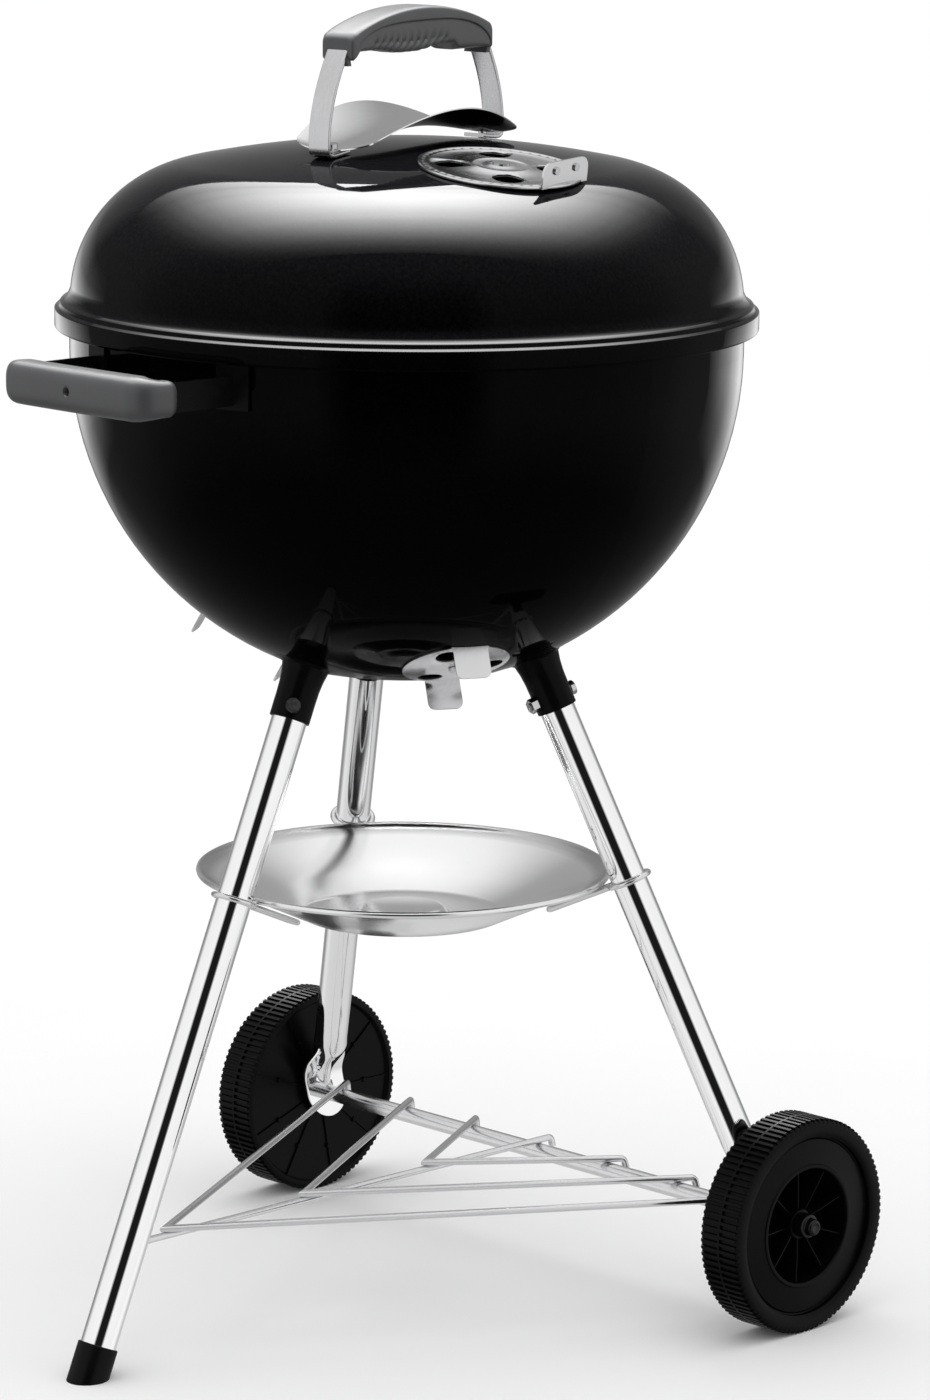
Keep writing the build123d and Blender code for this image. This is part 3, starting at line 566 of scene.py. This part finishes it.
# ---- bowl handle ---------------------------------------------------------------------------------
def make_bowl_grip():
    """Moulded bar whose ends turn back to the bowl, with softly rounded edges and a hole in its front."""
    arm_x, corner_x = 67.5, 55.5
    half = []
    for step in range(9):
        half.append((arm_x, 280 + step * 0.9, 0.0))
    for step in range(1, 25):
        turn = step / 24 * pi / 2
        half.append((corner_x + 12 * cos(turn), 287.2 + 12.4 * sin(turn), turn))
    for step in range(1, 60):
        x = corner_x - step * corner_x / 60
        half.append((x, 299.6 + 0.9 * (1 - (x / corner_x) ** 2), pi / 2))
    path = half + [(-x, y, pi - turn) for x, y, turn in reversed(half)]
    ring = squircle(3, 3, 72)
    rows = []
    for index, (x, y, turn) in enumerate(path):
        bend = min(turn, pi - turn) / (pi / 2)
        depth, high = mix(8.4, 12.4, ease(bend, 0, 1)), mix(12.2, 15, ease(bend, 0, 1))
        ends = min(index, len(path) - 1 - index)
        tuck = 0.5 + 0.5 * sqrt(1 - (1 - min(ends / 7, 1)) ** 2)
        out_x, out_y = cos(turn), sin(turn)
        power = mix(0.86, 1, ease(bend, 0, 1))
        row = []
        for s, h in ring:
            s, h = blunt(s, 2 / power), blunt(h, 2 / power)
            row.append(at(
                x + out_x * depth * tuck * s, -(y + out_y * depth * tuck * s), BAR_Z + high * tuck * h))
        rows.append(row)
    shape = Shape()
    shape.tube(rows)
    piece = shape.piece("bowl_grip_bar", "stand", "bowl_handle_grip", 50)
    hole = Shape()
    hole.tube(lathe(lambda along, reach, angle: at(reach * cos(angle), along, BAR_Z + reach * sin(angle)),
                    [(-330, 3.1), (-303, 3.1)], 48))
    carve(piece, hole)


# ---- wheels --------------------------------------------------------------------------------------
LUGS, SPOKES = 96, 9
KNOB_REACH = 46                             # small round knobs on the wheel's inner face


def wheel_point(side):
    """Maps (distance out from the wheel's inner face, reach, angle) to a point."""
    return lambda along, reach, angle: at(
        side * (WHEEL_X + along), AXLE_Y + reach * cos(angle), WHEEL_R + reach * sin(angle))


def make_wheel(side, name):
    """Lugged tread and dished web, with spokes outside and ribs and knobs inside."""
    place = wheel_point(side)
    profile = [(0.3, 4.9), (0.3, 12.4), (0.6, 13), (3, 14), (3, 69), (2.2, 69.8), (0.8, 70.4), (0.1, 71.2),
               (0.05, 72.2), (0.3, 73.6), "lug", (31.3, 62.2), (31.6, 61.5), (31.6, 45.2), (31.9, 44.5),
               (32.7, 43.9), (32.9, 42.8), (32.7, 41.7), (31.8, 41), (30, 40.7), (12, 40), (11.2, 39.6),
               (11, 38.8), (11, 12.6), (11.4, 11.6), (25.2, 10.7), (25.8, 10.4), (26, 9.8), (26, 4.9)]
    tread = [(0.7, 75.8, 75.2), (1.5, 77, 75.3), (16.5, 77, 75.3), (16.7, 77, 77), (18.3, 77, 77),
             (18.5, 77, 75.3), (33.2, 77, 75.3), (34.0, 76, 75.2), (34.6, 74.2, 74.2), (34.9, 72, 72),
             (35, 68.5, 68.5), (34.7, 66.4, 66.4), (34.2, 65, 65), (33.4, 64.1, 64.1), (30.6, 63.8, 63.8),
             (30.4, 63, 63)]
    turns = [(lug + part) * 2 * pi / LUGS for lug in range(LUGS) for part in (0, 0.42, 0.5, 0.92)]
    tall = [True, True, False, False] * LUGS
    rows = []
    for entry in profile:
        if entry == "lug":
            for along, top, gap in tread:
                rows.append([place(along, top if up else gap, turn) for turn, up in zip(turns, tall)])
        else:
            rows.append([place(*entry, turn) for turn in turns])
    shape = Shape()
    shape.grid(rows, loop=True, wrap=True)
    for blade in range(SPOKES):
        turn = (blade + 0.5) * 2 * pi / SPOKES
        blade_rows = []
        for reach, top in ((10.4, 24.6), (14, 25.4), (22, 26.6), (31, 27.8), (38, 28.6), (40.6, 28.9)):
            section = ((-0.9, 10.8), (-0.55, top - 0.4), (-0.35, top),
                       (0.35, top), (0.55, top - 0.4), (0.9, 10.8))
            blade_rows.append([place(along, reach, turn + offset / reach) for offset, along in section])
        shape.tube(blade_rows)
    for rib in range(SPOKES):
        turn = rib * 2 * pi / SPOKES
        section = ((-0.6, 3.1), (-0.4, 1.7), (0.4, 1.7), (0.6, 3.1))
        shape.tube([[place(along, reach, turn + offset / reach) for offset, along in section]
                    for reach in (13.8, 30, 50, 69.2)])
        knob_y, knob_z = AXLE_Y + KNOB_REACH * cos(turn), WHEEL_R + KNOB_REACH * sin(turn)
        shape.tube([[at(side * (WHEEL_X + along), knob_y + r * cos(a), knob_z + r * sin(a))
                     for a in circle(20)] for along, r in ((3.1, 2.2), (1.3, 1.8), (1.0, 1.4))])
    shape.piece(f"{name}_tread", name, name, 28)


def make_hub_cap(side, name):
    """Turned cap on the axle's end, with a step and a shallow dimple."""
    profile = [(26.3, 4.9), (26.3, 8.3), (26.7, 8.7), (27.4, 8.8), (33.4, 8.7), (34.2, 8.3), (34.5, 7.6),
               (34.6, 6.6), (35.2, 6.2), (38.4, 6.0), (39.4, 5.5), (40.1, 4.6), (40.3, 3.6), (39.9, 3.0),
               (39.6, 2.4), (39.6, 0.01)]
    shape = Shape()
    shape.tube(lathe(wheel_point(side), profile, 96))
    shape.piece(f"{name}_dome", "stand", name, 40)


# ---- rear legs -----------------------------------------------------------------------------------
def make_rear_leg(side, name):
    """Round tube whose lower end is pressed flat round the axle, with a pinched middle and raised wings."""
    mouth = Vector((side * REAR_MOUTH_X, REAR_MOUTH_Y, SOCKET_Z))
    low = Vector((side * SPADE_X, AXLE_Y, WHEEL_R))
    down = (low - mouth).normalized()
    lean = Vector((down.x, down.y, 0)).normalized()
    aside = Vector((-lean.y, lean.x, 0))
    stretch = 1 / abs(down.z)
    heights = [mouth.z + 31 - step * 8 for step in range(39)] + [152 - step * 1.2 for step in range(80)]
    heights = [z for z in heights if z > 57.6] + [57.55]
    rows = []
    for z in heights:
        center = mouth + down * ((z - mouth.z) / down.z)
        flat = ease(z, 127, 118)
        plate_x = mix(center.x, side * SPADE_X, ease(z, 116, 88))
        cone = max(min((z - 84) / (119 - 84), 1), 0)
        if z > WHEEL_R:
            wide = mix(TUBE_R, SPADE_R, ease(z, 121, 101))
        else:
            wide = sqrt(max(SPADE_R**2 - (z - WHEEL_R) ** 2, 0.01))
        row = []
        for angle in circle(96):
            round_spot = center + lean * (TUBE_R * stretch * cos(angle)) + aside * (TUBE_R * sin(angle))
            heading = angle + atan2(lean.y, lean.x)
            across = wide * sin(heading)
            bulge = 0
            if cone > 0:
                bulge = 10.5 * cone**0.7 * sqrt(max(1 - (across / (TUBE_R * sqrt(cone))) ** 2, 0))
            edge = min(sqrt(max(1 - (across / wide) ** 2, 0)) * 3.5, 1) * 2
            offset = (edge + bulge) * (1 if cos(heading) >= 0 else -1)
            plate_spot = Vector((plate_x + offset, center.y + across, z))
            row.append(at(*round_spot.lerp(plate_spot, flat)))
        rows.append(row)
    shape = Shape()
    shape.tube(rows)
    shape.piece(f"{name}_tube", "stand", name, 40)


# ---- ash pan -------------------------------------------------------------------------------------
def make_ash_pan():
    """Spun dish: a raised middle, a flared wall and a rolled rim with a flat lip."""
    upper = [(285.5, 0.01), (285.5, 26), (285.2, 28), (284.2, 29.6), (280.6, 32.4), (279.8, 33.6),
             (279.5, 35.2), (279.5, 66), (279.7, 69), (280.6, 72.4), (290, 92.5), (300, 114.2),
             (308.4, 134.2), (310.6, 140.4)]
    rim = [(312.6, 142.8), (314, 144.4), (314.3, 145.6), (313.6, 146.8), (312.2, 147.3), (310.6, 146.8),
           (309.8, 145.4), (310.0, 144.0)]
    under = [(309.6, 141.6), (307.6, 136), (299.2, 115.2), (289.2, 93.5), (279.6, 72.9), (278.8, 69.4),
             (278.5, 66), (278.5, 35), (279, 33), (279.9, 31.8), (283.4, 28.8), (284.3, 27.6),
             (284.5, 25.8), (284.5, 0.01)]
    shape = Shape()
    shape.tube(lathe(lambda z, reach, angle: at(reach * cos(angle), reach * sin(angle), z),
                     upper + rim + under, 256))
    shape.piece("ash_pan_dish", "stand", "ash_pan", 45)


# ---- lid -----------------------------------------------------------------------------------------
def arc(center, radius, start, end, steps):
    """Points (reach, height) along an arc, with angles in degrees."""
    turns = [radians(mix(start, end, step / steps)) for step in range(steps + 1)]
    return [(center[0] + radius * cos(a), center[1] + radius * sin(a)) for a in turns]


def lid_edge():
    """Outer profile of the lid's edge: a skirt, then two narrow ledges with steep faces between them."""
    return [(245.2, 702), (245.2, 712.9), (245.1, 713.4), (244.7, 713.8), (242.5, 714.85), (242.2, 715.2),
            (241.6, 716.9), (241.4, 717.5), (241, 718), (238.8, 719.05), (238.2, 719.5), (236.9, 721),
            (235.6, 723.3), (234.9, 725)]


def lid_crown(inset):
    """Shoulder and dome of the lid up to its axis, moved inward from the outer surface."""
    return arc((136.5, 718), 98 - inset, 5.2, 78.57, 60) + arc((0, DOME_Z), DOME_R - inset, 79.97, 89.999, 24)


def make_lid():
    """Enamelled shell with a rolled hem, a stepped edge, and four holes behind its damper."""
    outer = lid_edge() + lid_crown(0)
    inner = [(reach - 1.1, z - 0.7) for reach, z in lid_edge()[2:]] + lid_crown(1.2)
    hem = arc((243.2, 702), 2, 0, -180, 16)
    profile = inner[::-1] + hem[::-1] + outer[1:]
    shape = Shape()
    shape.grid(lathe(lambda reach, z, angle: at(reach * cos(angle), reach * sin(angle), z), profile, 384),
               loop=True)
    piece = shape.piece("lid_shell", "lid", "lid", 50)
    holes = Shape()
    origin, ahead, across, normal = damper_frame()
    for turn in hole_turns():
        middle = origin + ahead * (LID_HOLE_REACH * cos(turn)) + across * (LID_HOLE_REACH * sin(turn))
        holes.tube([[at(*(middle + (ahead * cos(a) + across * sin(a)) * 10 + normal * lift))
                     for a in circle(48)] for lift in (-6, 6)])
    carve(piece, holes)


# ---- strap and sockets ---------------------------------------------------------------------------
def make_strap():
    """Bent strip: flat feet on the lid and two gently bowed legs that rise into the grip."""
    half_wide, half_thick = 8.5, 1.4
    half = [(79, 0), (96, 0), (99.5, 0.3), (101.6, 1.4), (102.6, 3.4), (102.5, 6)]
    base = dome_z(95) + 1.7
    for step in range(1, 25):
        share = step / 24
        half.append((mix(102.5, 81, share**1.5) + 2.2 * sin(pi * share), mix(6, 897 - base, share)))
    path = [(along, base + rise - (0.12 if rise == 0 else 0) * (along - 95)) for along, rise in half]
    section = squircle(9, 9, 40)
    shape = Shape()
    for end in (1, -1):
        rows = []
        for index, (along, z) in enumerate(path):
            ahead = path[min(index + 1, len(path) - 1)]
            back = path[max(index - 1, 0)]
            run = Vector((ahead[0] - back[0], ahead[1] - back[1])).normalized()
            shift_along, shift_up = run.y * half_thick, run.x * half_thick
            rows.append([handle_point(end * (along - shift_along * h), half_wide * s, z + shift_up * h)
                         for s, h in section])
        shape.tube(rows)
    shape.piece("lid_strap_legs", "lid", "lid_handle_strap", 40)


def make_socket(name, turn):
    """Short tube welded under the bowl, flared where it meets the sheet."""
    mouth = Vector((SOCKET_REACH * cos(turn), SOCKET_REACH * sin(turn), SOCKET_Z))
    if name == "front":
        low = Vector((0, -FOOT_REACH, 0))
    else:
        low = Vector((SPADE_X if name == "right" else -SPADE_X, AXLE_Y, WHEEL_R))
    up = (mouth - low).normalized()
    out = Vector((cos(turn), sin(turn), 0))
    out = (out - up * out.dot(up)).normalized()
    aside = up.cross(out)
    profile = [(12.7, 30), (12.7, 0.4), (12.9, 0), (14.0, 0), (14.3, 0.4), (14.3, 16), (14.5, 24),
               (15.2, 31), (16.6, 38), (18.8, 44), (22, 50)]
    outside = BOWL_R + 0.1
    rows = []
    for reach, lift in profile:
        row = []
        for angle in circle(96):
            spot = mouth + out * (reach * cos(angle)) + aside * (reach * sin(angle)) + up * lift
            away = spot - Vector((0, 0, BOWL_Z))
            if away.length < outside:
                spot = Vector((0, 0, BOWL_Z)) + away.normalized() * outside
            row.append(at(*spot))
        rows.append(row)
    shape = Shape()
    shape.grid(rows, loop=True)
    shape.piece(f"socket_{name}_tube", "stand", f"leg_socket_{name}", 35)


# ---- stage and light -----------------------------------------------------------------------------
def make_floor():
    """Wide white floor that casts no shadow, so the light below it still reaches the kettle."""
    mesh = bpy.data.meshes.new("floor")
    half = 14
    mesh.from_pydata([(-half, -half, 0), (half, -half, 0), (half, half, 0), (-half, half, 0)], [],
                     [(0, 1, 2, 3)])
    floor = bpy.data.objects.new("floor", mesh)
    bpy.context.collection.objects.link(floor)
    s = Shader("floor", (0.86, 0.86, 0.86), 0.8, Specular_IOR_Level=0.1)
    s.color(s.tint(s.noise(3, 3), ((0.3, (0.85, 0.85, 0.85)), (0.7, (0.87, 0.87, 0.87)))))
    mesh.materials.append(s.material)
    floor.visible_glossy = False
    floor.visible_shadow = False


def softbox(name, place, aim, width, height, strength, receivers, stops, side_stops):
    """Large soft light for a group of pieces; stops are its brightness along its height and its width."""
    data = bpy.data.lights.new(name, "AREA")
    data.shape = "RECTANGLE"
    data.size, data.size_y = width, height
    data.energy = strength * width * height * pi
    light = bpy.data.objects.new(name, data)
    forward = (Vector(aim) - Vector(place)).normalized()
    light.rotation_euler = forward.to_track_quat("-Z", "Y").to_euler()
    light.location = place
    light.visible_camera = False
    bpy.context.collection.objects.link(light)
    group = bpy.data.collections.new(f"{name}_receivers")
    for piece in receivers:
        group.objects.link(piece)
    light.light_linking.receiver_collection = group
    data.use_nodes = True
    tree = data.node_tree
    geometry = tree.nodes.new("ShaderNodeNewGeometry")
    split = tree.nodes.new("ShaderNodeSeparateXYZ")
    tree.links.new(geometry.outputs["Parametric"], split.inputs[0])
    rise = ramp_of(tree, split.outputs["Y"], stops)
    sides = ramp_of(tree, split.outputs["X"], side_stops)
    product = tree.nodes.new("ShaderNodeMix")
    product.data_type = "RGBA"
    product.blend_type = "MULTIPLY"
    product.inputs["Factor"].default_value = 1.0
    tree.links.new(rise, product.inputs["A"])
    tree.links.new(sides, product.inputs["B"])
    tree.links.new(product.outputs["Result"], tree.nodes["Emission"].inputs["Strength"])


def ramp_of(tree, value, stops):
    """Grey ramp over a value: stops are (position, brightness)."""
    node = tree.nodes.new("ShaderNodeValToRGB")
    tree.links.new(value, node.inputs["Fac"])
    while len(node.color_ramp.elements) < len(stops):
        node.color_ramp.elements.new(0.5)
    for element, (place, level) in zip(node.color_ramp.elements, stops):
        element.position = place
        element.color = (level, level, level, 1)
    return node.outputs["Color"]


def make_world():
    """Studio room: white behind the object, pale walls and ceiling, and a dark gap behind the camera."""
    world = bpy.data.worlds.new("world")
    bpy.context.scene.world = world
    world.use_nodes = True
    tree = world.node_tree

    def add(kind, operation=None, *inputs):
        node = tree.nodes.new(kind)
        if operation:
            node.operation = operation
        for socket, value in zip(node.inputs, inputs):
            if isinstance(value, bpy.types.NodeSocket):
                tree.links.new(value, socket)
            else:
                socket.default_value = value
        return node

    def blend(share, a, b):
        node = tree.nodes.new("ShaderNodeMix")
        node.data_type = "RGBA"
        tree.links.new(share, node.inputs["Factor"])
        for socket, value in (("A", a), ("B", b)):
            if isinstance(value, bpy.types.NodeSocket):
                tree.links.new(value, node.inputs[socket])
            else:
                node.inputs[socket].default_value = (value, value, value, 1)
        return node.outputs["Result"]

    heading = add("ShaderNodeTexCoord").outputs["Generated"]
    split = add("ShaderNodeSeparateXYZ", None, heading)
    climb = add("ShaderNodeMath", "MULTIPLY_ADD", split.outputs["Z"], 0.5, 0.5).outputs[0]
    level = add("ShaderNodeVectorMath", "MULTIPLY", heading, (1, 1, 0))
    level = add("ShaderNodeVectorMath", "NORMALIZE", level.outputs[0])
    front = add("ShaderNodeVectorMath", "DOT_PRODUCT", level.outputs[0], TO_CAMERA)
    front = add("ShaderNodeMath", "MULTIPLY_ADD", front.outputs["Value"], 0.5, 0.5).outputs[0]
    around = ramp_of(tree, front, ((0, 0.34), (0.03, 0.36), (0.06, 0.4), (0.11, 0.2), (0.2, 0.4),
                                   (0.35, 0.9), (0.93, 0.95), (0.972, 0.01)))
    height = ramp_of(tree, climb, ((0, 0.22), (0.3, 0.3), (0.45, 0.62), (0.55, 0.7), (0.8, 0.9), (1, 1.1)))
    wall = ramp_of(tree, climb, ((0.2, 0.0), (0.38, 1.0), (0.72, 1.0), (0.88, 0.0)))
    room = blend(wall, height, around)
    rays = add("ShaderNodeLightPath")
    fill = ramp_of(tree, climb, ((0, 0.8), (0.5, 0.42), (0.85, 1.05), (1, 2.3)))
    seen = blend(rays.outputs["Is Diffuse Ray"], room, fill)
    seen = blend(rays.outputs["Is Camera Ray"], seen, 1.0)
    tree.links.new(seen, tree.nodes["Background"].inputs["Color"])


def pieces_of(*slot_names):
    """Every visible mesh whose finish is one of the slots."""
    wanted = {materials[name] for name in slot_names}
    meshes = [thing for thing in bpy.data.objects if thing.type == "MESH"]
    return [thing for thing in meshes if any(slot.material in wanted for slot in thing.material_slots)]


make_camera()
dress_cad()
make_lid()
make_strap()
for word, turn in (("front", -90), ("right", 30), ("left", 150)):
    make_socket(word, radians(turn))
make_lid_grip()
make_lid_insert()
make_shield()
make_lid_damper()
make_bowl_grip()
for side, word in ((1, "right"), (-1, "left")):
    make_wheel(side, f"wheel_{word}")
    make_hub_cap(side, f"hub_cap_{word}")
    make_rear_leg(side, f"leg_{word}")
make_ash_pan()
make_floor()
make_world()

behind = -TO_CAMERA
soft_ends = ((0, 0.2), (0.5, 1.0), (1, 0.2))
wide_ends = ((0, 0.3), (0.3, 1.0), (0.7, 1.0), (1, 0.3))
softbox("overhead", behind * 1.8 + Vector((0, 0, 3.8)), behind * 1.81, 12.0, 6.8, 129.0, pieces_of("enamel"),
        ((0, 0.02), (0.053, 0.09), (0.105, 0.22), (0.154, 0.43), (0.2, 0.65), (0.247, 0.83), (0.3, 1.0),
         (0.357, 0.97), (0.427, 0.87), (0.516, 0.64), (0.65, 0.34), (0.8, 0.17), (1, 0.12)),
        [(0.5 + m / 24, exp(-(m / 3.5) ** 2)) for m in range(-10, 11)])
for turn, word in ((-36, "right"), (36, "left")):
    place = Matrix.Rotation(radians(turn), 3, "Z") @ behind * 4 + Vector((0, 0, 0.27))
    softbox(f"edge_{word}", place, (0, 0, 0.27), 3.15, 2.15, 4.0, pieces_of("enamel"),
            ((0, 0.0), (0.2, 0.35), (0.4, 0.9), (0.55, 0.8), (0.75, 0.2), (1, 0.0)),
            ((0, 0.15), (0.25, 0.8), (0.5, 1.0), (0.75, 0.8), (1, 0.15)))
softbox("bounce", (0, 0, -1.5), (0, 0.01, 0), 9.0, 9.0, 0.42,
        pieces_of("leg_chrome", "pan_aluminium", "zinc_wire", "damper_aluminium"), wide_ends, wide_ends)
softbox("glint", behind * 3 + Vector((0, 0, 2.0)), (0, 0, 0.1), 4.0, 1.6, 9.0,
        pieces_of("wheel_plastic", "hub_plastic"), soft_ends, soft_ends)
softbox("sky", behind * 1.2 + Vector((0, 0, 3.0)), behind * 1.21, 5.0, 4.0, 9.0, pieces_of("nylon"),
        ((0, 0.6), (1, 1.0)), ((0, 0.5), (0.5, 1.0), (1, 0.5)))
bpy.context.scene.view_settings.view_transform = "Standard"
